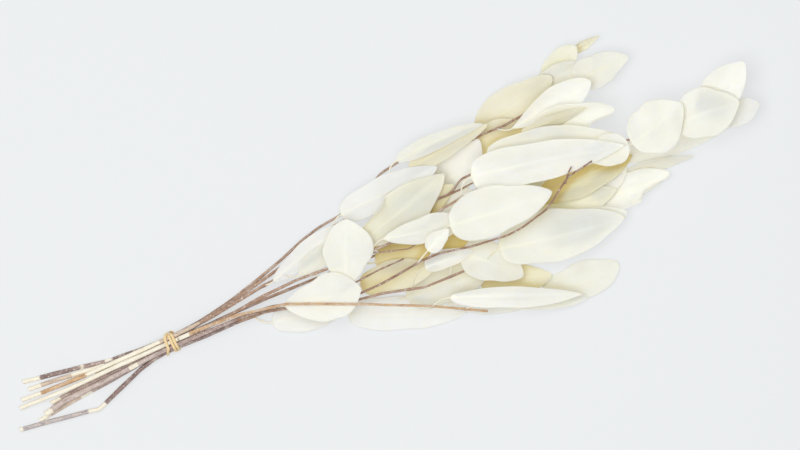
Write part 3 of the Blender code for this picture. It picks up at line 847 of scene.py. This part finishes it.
def leaf_section(leaf, growth):
    """Sideways place, upward offset and half thickness at each row and column of a leaf."""
    right_width, left_width = (width[:, None] for width in half_widths(leaf, growth))
    width = np.where(columns < 0, right_width, left_width)
    round_share = np.sin(columns * math.pi / 2)
    sideways = width * (grown[:, None] * columns + (1 - grown[:, None]) * round_share)
    rim = np.clip((np.abs(columns) - FLAT_SHARE) / (1 - FLAT_SHARE), 0, 1)
    upward = grown[:, None] * leaf.cup * width * rim ** CUP_POWER
    span = np.sin(math.pi * blade_share)[:, None].clip(0) ** 0.6
    ripples = growth.ripples[0] * blade_share[:, None]
    phase = 2 * math.pi * (ripples + np.where(columns < 0, growth.ripples[1], growth.ripples[2]))
    ripple = RIPPLE * np.abs(columns) ** RIPPLE_POWER * np.sin(phase)
    upward = upward + width * span * (ripple + UNDULATION * undulation(growth))
    for fold in leaf.folds:
        sideways, lift = folded(sideways, width, fold)
        upward = upward + lift
    twist = np.radians(leaf.roll + growth.twist * (blade_share - 0.5))
    turn = (twist * grown)[:, None]
    across = sideways * np.cos(turn) - upward * np.sin(turn)
    above = sideways * np.sin(turn) + upward * np.cos(turn)
    rib = MIDRIB_HALF_THICKNESS * np.exp(-(sideways / MIDRIB_WIDTH) ** 2) * (1 - blade_share[:, None])
    blade = BLADE_HALF_THICKNESS * (1 - EDGE_THINNING * np.abs(columns) ** 6) + rib
    stalk = STALK_RADIUS * np.cos(columns * math.pi / 2).clip(0.05)
    return across, above, grown[:, None] * blade + (1 - grown[:, None]) * stalk


print("blades are", 2 * BLADE_HALF_THICKNESS, "mm thick beside the midrib")

# %% [markdown]
# ## Laying a leaf
#
# Each leaf sinks until it meets the heap. Across and along it can bend a little, as a dry leaf does.
# A leaf with more spring spans the hollows below it, and one with none is pressed down. A cloth
# simulation could do this too, but it would move the leaves sideways, away from where they belong.

# %% Rest a leaf on the heap
DENSE = 3
LEAST_THICKNESS = 0.05


def spread(count, parts):
    """Weights that read a row of values at evenly spaced places between its entries."""
    places = np.linspace(0, count - 1, (count - 1) * parts + 1)
    low = np.minimum(places.astype(int), count - 2)
    weights = np.zeros((len(places), count))
    weights[np.arange(len(places)), low] = 1 - (places - low)
    weights[np.arange(len(places)), low + 1] += places - low
    return weights


down = spread(LEAF_ROWS + 1, DENSE)
over = spread(LEAF_COLUMNS + 1, 2)


def lay_leaf(leaf, start, spring, heap):
    """Top and bottom points of a leaf, by row and column, in millimetres."""
    growth = grow()
    plan, side = centre_line(leaf, np.array(start[:2]), growth)
    across, above, half = leaf_section(leaf, growth)
    x = plan[:, :1] + side[:, :1] * across
    y = plan[:, 1:] + side[:, 1:] * across
    dense_x, dense_y, dense_above, dense_half = (down @ grid @ over.T for grid in (x, y, above, half))
    need = heap.floor_under(heap.everything, dense_x, dense_y) + dense_half - dense_above
    lengths = polyline_lengths(plan)
    places = down @ lengths
    riser = min(lengths[STALK_ROWS] / 2, 2 * TIE_RADIUS)
    free = places >= riser
    need, places = need[free], places[free]
    drooping = limp_cover(places, need, LEAF_BEND)
    middle_row = np.abs(down @ across @ over.T)[free].max(axis=0)
    offsets = np.linspace(-1, 1, len(middle_row)) * middle_row.max()
    drooping = limp_cover(offsets, drooping.T, ACROSS_BEND).T
    arch = concave_cover(places, drooping.max(axis=1))
    settled = spring * arch[:, None] + (1 - spring) * drooping
    heights = np.array([np.interp(lengths, places, column) for column in settled[:, ::2].T]).T
    ramp = np.clip(lengths / riser, 0, 1)[:, None]
    ramp = ramp * ramp * (3 - 2 * ramp)
    heights = start[2] * (1 - ramp) + heights * ramp
    heights = heights + leaf.rise * blade_share[:, None] ** 2
    points = np.dstack([x, y, heights + above])
    normal = unit(np.cross(np.gradient(points, axis=0), np.gradient(points, axis=1)))
    normal *= np.where(normal[LEAF_ROWS // 2, LEAF_COLUMNS // 2, 2] < 0, -1.0, 1.0)
    upper, lower = points + normal * half[..., None], points - normal * half[..., None]
    lower[..., 2] = np.maximum(lower[..., 2], 0.0)
    upper[..., 2] = np.maximum(upper[..., 2], lower[..., 2] + LEAST_THICKNESS)
    tops = np.maximum(down @ upper[..., 2] @ over.T, down @ lower[..., 2] @ over.T)
    heap.add(dense_x, dense_y, tops, True)
    return upper, lower


# %% [markdown]
# ## The tone of each leaf
#
# Bleached leaves are not all alike: some are almost white, some cream, grey or beige. Leaves that lie
# in shade deep in the bunch get a darker ochre tone, which is painted shade. One material for all of
# them is enough, because each leaf's tone is stored as a colour at its points, with a UV map that runs
# along and across the blade for its veins.

# %% Make leaves and stems in the order in which they were laid
# Leaves that lie in shade under others get the darker ochre tone, which is painted shade.
LEAF_TONES = {"white": "FDFAEA", "ivory": "F6F4E3", "cream": "F3F0D9", "grey": "F1F0E2",
              "faint": "EFEEE7", "beige": "F0ECD4", "mist": "E9E7DA", "sand": "ECE4C9",
              "taupe": "E9E2CB", "shaded_ochre": "E9E0C0"}
# How strongly painted warm shade darkens a leaf of each tone where it lies deep in the bunch.
USUAL_PAINTED_SHADE = 0.3
LEAF_PAINTED_SHADE = {"shaded_ochre": 1.0, "sand": 0.7, "taupe": 0.6, "faint": 0.1, "white": 0.0}
TONE_DRIFT = (0.985, 1.015)
start = master_points(leaf_master)
leaf_row = np.rint((start[:, 0] + 1) / 2 * LEAF_ROWS).astype(int)
leaf_column = np.rint((start[:, 1] + 1) / 2 * LEAF_COLUMNS).astype(int)
leaf_on_top = start[:, 2] > -0.5


def leaf_piece(leaf, name, upper, lower):
    """Copy of the master leaf, moved to its laid shape."""
    piece = copy_of(leaf_master, name)
    moved = np.where(leaf_on_top[:, None], upper[leaf_row, leaf_column], lower[leaf_row, leaf_column])
    piece.data.vertices.foreach_set("co", to_part(moved).ravel())
    piece.data.update()
    tint = np.array(srgb(LEAF_TONES[leaf.tone]))
    tint[:3] *= rng.uniform(*TONE_DRIFT)
    store_attribute(piece.data, "leaf_tint", "FLOAT_COLOR", np.tile(tint, (len(moved), 1)))
    painted_shade_warmth = LEAF_PAINTED_SHADE.get(leaf.tone, USUAL_PAINTED_SHADE)
    store_attribute(piece.data, "painted_shade_warmth", "FLOAT", np.full(len(moved), painted_shade_warmth))
    store_uv(piece.data, "blade", leaf_column / LEAF_COLUMNS, leaf_row / LEAF_ROWS)
    return piece


def join(pieces, name):
    """Join several objects into one, named for the part it is."""
    select_none()
    for piece in pieces:
        piece.select_set(True)
    bpy.context.view_layer.objects.active = pieces[0]
    bpy.ops.object.join()
    pieces[0].name = name
    return pieces[0]


twigs, foliage, laid = {}, {}, []
for stem in STEMS:
    plan = stem_plan(stem)
    places = polyline_lengths(plan)
    swell = np.interp(plan[:, 0], [TIE_HALF_LENGTH, SWELL_FROM_X], [1.0, KNOT_SWELL])
    radius = stem_radius(stem, plan[:, 0])
    in_tie = np.abs(plan[:, 0]) <= TIE_HALF_LENGTH
    fixed = np.where(in_tie, tie_place(stem)[1], np.nan)
    points = lay_twig(plan, radius * swell, fixed, heap, laid)
    remember_twig(points, radius * swell, heap, laid)
    roots = [leaf_root(leaf, plan, places) for leaf in stem.leaves]
    tones, peel = bark_along(stem, plan[:, 0])
    bumpy = np.where(in_tie, radius, knobbly(places, radius, roots))
    number = f"{stem.number:02d}"
    woody = [twig_piece(stem_master, "stem_" + number, points, bumpy, places, tones, peel)]
    for route in stem.shoots:
        woody.append(add_shoot(stem, "shoot_" + number, route, points, heap, laid))
    twigs[stem.number] = join(woody, "twig_" + number)
    made = []
    for index, (leaf, root) in enumerate(zip(stem.leaves, roots)):
        where = [float(np.interp(root, places, column)) for column in points.T]
        upper, lower = lay_leaf(leaf, where, stem.spring, heap)
        made.append(leaf_piece(leaf, f"leaf_{number}_{index:02d}", upper, lower))
    foliage[stem.number] = join(made, "leaves_" + number)
    print("stem", number, "top", round(float(points[:, 2].max()), 1),
          "heap", round(float(heap.everything.max()), 1))

# %% [markdown]
# ## Light that reaches between the leaves
#
# Deep between the leaves the light has passed through and bounced off other leaves, and comes out
# warm. Each point stores how far it lies below the heap around it, and the leaf material turns
# warmer with it. A blurred copy of the height map gives the level around each point.

# %% Depth of each leaf point below the heap around it
BLUR_REACH = 4
FULL_DEPTH = 14.0


def blurred(grid, reach):
    """Box blur, twice each way, which comes close to a round blur."""
    kernel = np.ones(2 * reach + 1) / (2 * reach + 1)
    for _ in range(2):
        for axis in (0, 1):
            grid = np.apply_along_axis(np.convolve, axis, grid, kernel, "same")
    return grid


level = blurred(heap.everything, BLUR_REACH)
for piece in foliage.values():
    points = master_points(piece) / MM
    place = heap.cells(points[:, 0] - TIE[0], points[:, 1] - TIE[1])
    painted_shade_warmth = np.zeros(len(points))
    piece.data.attributes["painted_shade_warmth"].data.foreach_get("value", painted_shade_warmth)
    depth = painted_shade_warmth * np.clip((level[place] - points[:, 2]) / FULL_DEPTH, 0, 1)
    store_attribute(piece.data, "depth", "FLOAT", depth)
print("mean depth of the last piece:", round(float(depth.mean()), 3))

# %% [markdown]
# ## Bleached leaf
#
# The leaves were bleached and soaked in glycerine. That leaves them matt with a faint waxy sheen and
# a little translucent, so they glow softly instead of casting hard shadows on each other. Fine veins
# leave the midrib at about 45 degrees, as faint lines in colour and relief, and slow mottling breaks
# up the tone. Painting each leaf by hand would give the same, but masks from the blade's UV map
# serve all of them at once.

# %% Masks for the parts of a leaf
# Blotches are 22 mm, about half a blade wide. The real grain is oil glands of about 0.2 mm, which
# are too fine to show, so it is drawn at 1.1 mm.
MOTTLE_SCALE = 45.0
GRAIN_SCALE = 900.0
VEINS_ON_A_BLADE = 26
VEIN_SLANT = -0.45
VEIN_WOBBLE = 0.03

# Bleached leaf gives the eye an almost white, softly glowing matt sheet with faint veins.
leaf_material = new_material("bleached_eucalyptus_leaf")
leaf_node = partial(add_node, leaf_material)
uv = leaf_node("UVMap", {"uv_map": "blade"})
uv_parts = leaf_node("SeparateXYZ", inputs={"Vector": uv.outputs["UV"]})
tint = leaf_node("Attribute", {"attribute_name": "leaf_tint"})
painted_shade_depth = leaf_node("Attribute", {"attribute_name": "depth"})
place = leaf_node("TexCoord")
mottle = leaf_node("TexNoise", inputs={
    "Vector": place.outputs["Object"], "Scale": MOTTLE_SCALE, "Detail": 4.0,
    "Roughness": 0.6})
grain = leaf_node("TexNoise", inputs={
    "Vector": place.outputs["Object"], "Scale": GRAIN_SCALE, "Detail": 3.0})
from_rib = leaf_node("Math", {"operation": "SUBTRACT"}, {0: uv_parts.outputs["X"], 1: 0.5})
from_rib = leaf_node("Math", {"operation": "ABSOLUTE"}, {0: from_rib.outputs[0]})
slanted = leaf_node("Math", {"operation": "MULTIPLY_ADD"},
                    {0: from_rib.outputs[0], 1: VEIN_SLANT, 2: uv_parts.outputs["Y"]})
wobble = leaf_node("Math", {"operation": "MULTIPLY_ADD"},
                   {0: mottle.outputs["Fac"], 1: VEIN_WOBBLE, 2: slanted.outputs[0]})
vein_phase = leaf_node("Math", {"operation": "MULTIPLY"},
                       {0: wobble.outputs[0], 1: 2 * math.pi * VEINS_ON_A_BLADE})
vein_wave = leaf_node("Math", {"operation": "SINE"}, {0: vein_phase.outputs[0]})
vein = leaf_node("MapRange", inputs={
    "Value": vein_wave.outputs[0], "From Min": 0.7, "From Max": 1.0, "To Min": 0.0, "To Max": 1.0})
print("veins on each side of a blade:", VEINS_ON_A_BLADE)

# %% Leaf material
# Each layer has a name, a mask, the range of the mask, the share that the layer covers at its two
# ends, the way it blends with the tone below and its colour.
LEAF_LAYERS = (
    # The depth layer is painted warm shade: it darkens leaf points that lie deep below the heap around
    # them.
    ("depth", painted_shade_depth.outputs["Fac"], (0.0, 1.0), (0.0, 1.0), "MULTIPLY", "E3D3A8"),
    ("mottling", mottle.outputs["Fac"], (0.35, 0.7), (0.0, 0.25), "MULTIPLY", "F0EDDD"),
    ("veins", vein.outputs["Result"], (0.0, 1.0), (0.0, 0.06), "MULTIPLY", "EDE6CE"),
    ("midrib", from_rib.outputs[0], (0.0, 0.035), (0.12, 0.0), "MIX", "FAF8EC"),
    # The margin layer darkens every leaf edge to a thin warm line: partly the dry margin's own tone,
    # partly painted shade where edges lie over gaps.
    ("margin", from_rib.outputs[0], (0.46, 0.5), (0.0, 0.1), "MULTIPLY", "E6D3A4"),
    ("stalk", uv_parts.outputs["Y"], (0.13, 0.17), (1.0, 0.0), "MIX", "F0E8D2"))


def layered(material, tone, layers):
    """Lay colours over a tone, each where its mask shows it."""
    for name, mask, (low, high), (share_low, share_high), blend, code in layers:
        share = add_node(material, "MapRange", {"name": name}, {
            "Value": mask, "From Min": low, "From Max": high, "To Min": share_low,
            "To Max": share_high})
        mix = add_node(material, "Mix", {"data_type": "RGBA", "blend_type": blend},
                       {"Factor": share.outputs["Result"], "A": tone, "B": srgb(code)})
        tone = mix.outputs["Result"]
    return tone


relief = leaf_node("Math", {"operation": "MULTIPLY_ADD"},
                   {0: vein.outputs["Result"], 1: 0.6, 2: grain.outputs["Fac"]})
bump = leaf_node("Bump", inputs={
    "Height": relief.outputs[0], "Strength": 0.25, "Distance": 0.2 * MM})
gloss = leaf_node("MapRange", inputs={
    "Value": mottle.outputs["Fac"], "From Min": 0.3, "From Max": 0.7, "To Min": 0.52,
    "To Max": 0.66})
finish_material(leaf_material, {
    "Base Color": layered(leaf_material, tint.outputs["Color"], LEAF_LAYERS),
    "Roughness": gloss.outputs["Result"], "Normal": bump.outputs["Normal"],
    "Subsurface Weight": 0.6, "Subsurface Scale": 3 * MM, "Subsurface Radius": (1.0, 0.8, 0.5),
    "IOR": 1.42})

# %% [markdown]
# ## Bark
#
# Eucalyptus bark on thin twigs is smooth and dry. It gives the eye a matt, soft brown with fine
# streaks along the stem, pale flecks and small pale pores. Where it is peeled, the cream wood shows
# with an edge that is ragged along the fibres. Streaks follow the stem, so they read its UV map.
# Flecks and pores have no direction and read the place itself.

# %% Bark material
# Nine streaks round the stem, each 9 mm long, as 2.2 of them fit in the 20 mm of one UV unit.
STREAK_SCALE = (9.0, 2.2, 1.0)
# Flecks are 6 mm, a little longer than the stem is thick, and pores lie 2.4 mm apart.
FLECK_SCALE = 160.0
PORE_SCALE = 420.0

# Dry bark gives the eye a matt, streaky brown that sets the stems off from the leaves.
bark_material = new_material("eucalyptus_bark")
bark_node = partial(add_node, bark_material)
bark_uv = bark_node("UVMap", {"uv_map": "bark"})
bark_tint = bark_node("Attribute", {"attribute_name": "bark_tint"})
peel_value = bark_node("Attribute", {"attribute_name": "peel"})
bark_place = bark_node("TexCoord")
stretched = bark_node("Mapping", inputs={
    "Vector": bark_uv.outputs["UV"], "Scale": STREAK_SCALE})
streaks = bark_node("TexNoise", inputs={
    "Vector": stretched.outputs["Vector"], "Scale": 1.0, "Detail": 5.0, "Roughness": 0.65})
flecks = bark_node("TexNoise", inputs={
    "Vector": bark_place.outputs["Object"], "Scale": FLECK_SCALE, "Detail": 4.0})
pores = bark_node("TexVoronoi", inputs={
    "Vector": bark_place.outputs["Object"], "Scale": PORE_SCALE})
BARK_LAYERS = (
    ("streaks", streaks.outputs["Fac"], (0.45, 0.65), (0.0, 0.7), "MULTIPLY", "A69492"),
    ("flecks", flecks.outputs["Fac"], (0.48, 0.68), (0.0, 0.6), "MIX", "CFC0B3"),
    ("pores", pores.outputs["Distance"], (0.14, 0.3), (0.8, 0.0), "MIX", "E9DDD0"))
WOOD_LAYERS = (
    ("grain", streaks.outputs["Fac"], (0.45, 0.65), (0.0, 0.7), "MIX", "E6DAC0"),)
bark = layered(bark_material, bark_tint.outputs["Color"], BARK_LAYERS)
wood = layered(bark_material, srgb("F6F0DF"), WOOD_LAYERS)
ragged = bark_node("Math", {"operation": "MULTIPLY_ADD"},
                   {0: streaks.outputs["Fac"], 1: 1.2, 2: peel_value.outputs["Fac"]})
peeled = bark_node("MapRange", inputs={
    "Value": ragged.outputs[0], "From Min": 1.03, "From Max": 1.17, "To Min": 0.0, "To Max": 1.0})
skin = bark_node("Mix", {"data_type": "RGBA"},
                 {"Factor": peeled.outputs["Result"], "A": bark, "B": wood})
bark_bump = bark_node("Bump", inputs={
    "Height": streaks.outputs["Fac"], "Strength": 0.5, "Distance": 0.3 * MM})
finish_material(bark_material, {
    "Base Color": skin.outputs["Result"], "Roughness": 0.72,
    "Normal": bark_bump.outputs["Normal"]})

# %% [markdown]
# ## The rubber band
#
# A pale natural rubber band is wound three times round the stems, and its last half turn crosses
# back over the others. It is a closed loop, so it starts as a torus: the way round the torus becomes
# the way along the band, and its round section is flattened to the strip that a real band is.

# %% Model the band
BAND_TURNS = 3
# Where the band lies along the stems at each part of its three turns.
BAND_WINDING = ([0.0, 0.5, 1.0, 1.5, 2.0, 2.38, 2.64, 3.0],
                [-7.5, -0.4, 0.8, 2.2, 3.6, 4.4, -2.8, -7.5])
# Turns between which the band is lifted, because it crosses its own strands.
BAND_LIFTED = (2.34, 2.41, 2.68, 2.8)
BAND_CROSSING_LIFT = 1.7
BAND_STEPS = 240
BAND_SECTION_POINTS = 12
STRIP_HALF_WIDTH = 1.2
STRIP_HALF_THICKNESS = 0.5
STRIP_CORNERS = 0.6
BAND_SMOOTHING = 4


def band_path():
    """Centre line of the band in millimetres, and the direction away from the stems."""
    centres = np.array([tie_place(stem) for stem in STEMS])
    wrap = TIE_RADIUS + BAND_CLEARANCE + BAND_RADIUS
    points, outward = [], []
    for turn in np.arange(BAND_STEPS) * BAND_TURNS / BAND_STEPS:
        angle = math.pi + 2 * math.pi * turn
        out = np.array([math.cos(angle), math.sin(angle)])
        outermost = centres[(centres @ out).argmax()]
        lift = BAND_CROSSING_LIFT * np.interp(turn, BAND_LIFTED, (0.0, 1.0, 1.0, 0.0))
        y, z = outermost + out * (wrap + lift)
        x = np.interp(turn, *BAND_WINDING)
        points.append((x, y, z))
        outward.append((0.0, *out))
    return np.array(points), np.array(outward)


select_none()
bpy.ops.mesh.primitive_torus_add(major_segments=BAND_STEPS, minor_segments=BAND_SECTION_POINTS,
                                 major_radius=1.0, minor_radius=0.25)
band = bpy.context.object
band.name = "rubber_band_strip"
start = master_points(band)
path, outward = band_path()
for _ in range(BAND_SMOOTHING):
    path = (np.roll(path, 1, axis=0) + 2 * path + np.roll(path, -1, axis=0)) / 4
way_round = np.arctan2(start[:, 1], start[:, 0]) / (2 * math.pi)
step = np.rint(way_round * BAND_STEPS).astype(int) % BAND_STEPS
ring_reach = np.hypot(start[:, 0], start[:, 1])
section = np.arctan2(start[:, 2], ring_reach - 1.0)
heading = unit(np.roll(path, -1, axis=0) - np.roll(path, 1, axis=0))
broad = unit(np.cross(heading, outward))


def squared(angle):
    """Cosine with flatter sides, for a strip with rounded corners."""
    return np.sign(np.cos(angle)) * np.abs(np.cos(angle)) ** STRIP_CORNERS


moved = path[step] + outward[step] * (STRIP_HALF_THICKNESS * squared(section))[:, None]
moved -= broad[step] * (STRIP_HALF_WIDTH * squared(section - math.pi / 2))[:, None]
band.data.vertices.foreach_set("co", to_part(moved).ravel())
band.data.update()
turn_outwards(band)
print("band faces:", len(band.data.polygons))

# %% [markdown]
# ## Natural rubber
#
# The band was sliced from an extruded tube of natural rubber and dusted with talc. It is matt and
# slightly translucent, so it looks soft and yellow to tan, and the talc makes its tone uneven. A
# strip this thin needs no more than one noise, which serves its colour and its relief.

# %% Rubber material
# Patches of talc of 2 mm, nearly as wide as the strip.
TALC_SCALE = 500.0
# Natural rubber gives the eye a dull honey yellow that light enters a little.
rubber_material = new_material("natural_rubber_strip")
rubber_node = partial(add_node, rubber_material)
rubber_place = rubber_node("TexCoord")
talc = rubber_node("TexNoise", inputs={
    "Vector": rubber_place.outputs["Object"], "Scale": TALC_SCALE, "Detail": 4.0})
TALC_LAYERS = (("talc", talc.outputs["Fac"], (0.0, 1.0), (0.0, 1.0), "MIX", "EFD9AC"),)
rubber_bump = rubber_node("Bump", inputs={
    "Height": talc.outputs["Fac"], "Strength": 0.2, "Distance": 0.2 * MM})
finish_material(rubber_material, {
    "Base Color": layered(rubber_material, srgb("E2C68C"), TALC_LAYERS), "Roughness": 0.6,
    "IOR": 1.52, "Normal": rubber_bump.outputs["Normal"], "Subsurface Weight": 0.15,
    "Subsurface Scale": 1 * MM})

# %% [markdown]
# ## Floor and light
#
# The bunch lies on a plain pale surface in soft studio light from almost straight above, a little to
# the left in the picture. A bright world fills the shadows, and the painted floor glows a little, as
# a lit table does, so the shadows under the leaves are faint.

# %% Floor, lights and world
FLOOR_SIZE = 12.0
FLOOR_DROP = 0.2 * MM
WORLD_STRENGTH = 0.5
# Where the light stands, as metres to the right and up in the picture, and its height.
KEY_DIRECTION = (-0.35, -0.05)
KEY_HEIGHT = 2.3
KEY_SIZE = 1.6
KEY_POWER = 36.0

select_none()
bpy.ops.mesh.primitive_plane_add(size=FLOOR_SIZE, location=(0, 0, -FLOOR_DROP))
floor = bpy.context.object
floor.name = "floor"
# Painted board gives the eye an even, matt, cool white, so that the warm leaves stand out.
floor_material = new_material("painted_studio_floor")
finish_material(floor_material, {"Base Color": srgb("8F9192"), "Roughness": 0.9,
                                 "Specular IOR Level": 0.1, "Emission Strength": 0.61,
                                 "Emission Color": srgb("F4F6F8")})
floor.data.materials.append(floor_material)

world = bpy.data.worlds.new("studio")
bpy.context.scene.world = world
world.use_nodes = True
sky = world.node_tree.nodes["Background"]
sky.inputs["Color"].default_value = srgb("FFFFFF")
sky.inputs["Strength"].default_value = WORLD_STRENGTH

ground = KEY_DIRECTION[0] * right + KEY_DIRECTION[1] * up
key_place = np.array([middle[0] + ground[0], middle[1] + ground[1], KEY_HEIGHT])
aim = np.array([middle[0], middle[1], 0.0]) - key_place
key_turn = (math.atan2(math.hypot(aim[0], aim[1]), -aim[2]), 0.0,
            math.atan2(aim[1], aim[0]) - math.pi / 2)
bpy.ops.object.light_add(type="AREA", location=key_place, rotation=key_turn)
key = bpy.context.object
key.name = "key_light"
key.data.size = KEY_SIZE
key.data.energy = KEY_POWER
bpy.context.scene.view_settings.view_transform = "Standard"
print(key.name, "at", np.round(key_place, 2), "m")

# %% [markdown]
# ## Hand the pieces over
#
# Each new piece rides on the model's one body and takes the place of its CAD node, which is hidden. A
# stem's twig and its leaves stay two pieces, because they differ in material, and both take the place
# of the same node. The masters have done their work and are removed.

# %% Finish
for number, twig in twigs.items():
    node = f"leafy_stem_{number:02d}"
    leaves = foliage[number]
    for piece, material in ((twig, bark_material), (leaves, leaf_material)):
        piece.data.materials.clear()
        piece.data.materials.append(material)
        for face in piece.data.polygons:
            face.use_smooth = True
        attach(piece, "root")
        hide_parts(node)
band.data.materials.append(rubber_material)
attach(band, "root")
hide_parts("rubber_band")
for master in (stem_master, shoot_master, leaf_master):
    bpy.data.objects.remove(master)
